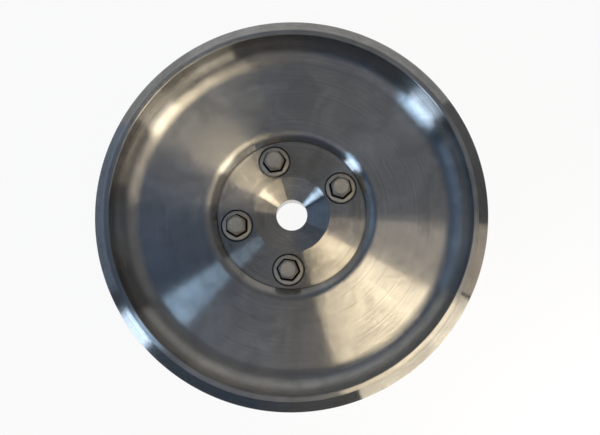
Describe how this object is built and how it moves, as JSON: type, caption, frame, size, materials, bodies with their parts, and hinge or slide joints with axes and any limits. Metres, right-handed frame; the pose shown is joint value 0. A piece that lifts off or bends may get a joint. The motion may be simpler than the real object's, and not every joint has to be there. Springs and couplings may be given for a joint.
{
  "type": "flywheel",
  "caption": "Turned light-alloy flywheel of a small engine: heavy bevelled rim, dished web, bolted-in taper hub, rim magnet.",
  "frame": {"origin": "on the axis of rotation, in the plane of the rim's rear face, on which the part rests", "axes": "+Z along the axis of rotation, from the engine side to the dished front; +X through the keyway and the ignition magnet"},
  "size_m": [0.216, 0.216, 0.046],
  "materials": {
    "turned_aluminium": "lathe-turned, fine concentric tool marks",
    "turned_steel": "lathe-turned, fine concentric tool marks",
    "plated_steel": "dull zinc plate",
    "bright_steel": "machined",
    "black_steel": "black oxide",
    "laminated_steel": "stacked laminations, ground flush",
    "magnet_alloy": "dull sintered"
  },
  "bodies": {
    "root": {"counterweight": "bright_steel", "counterweight_screw_1": "black_steel", "counterweight_screw_2": "black_steel", "flywheel_disc": "turned_aluminium", "hub": "turned_steel", "hub_bolt_1": "plated_steel", "hub_bolt_2": "plated_steel", "hub_bolt_3": "plated_steel", "hub_bolt_4": "plated_steel", "ignition_magnet": "magnet_alloy", "magnet_screw_1": "black_steel", "magnet_screw_2": "black_steel", "pole_shoe_leading": "laminated_steel", "pole_shoe_trailing": "laminated_steel", "thread_insert_1": "bright_steel", "thread_insert_2": "bright_steel", "thread_insert_3": "bright_steel", "thread_insert_4": "bright_steel"}
  },
  "joints": []
}
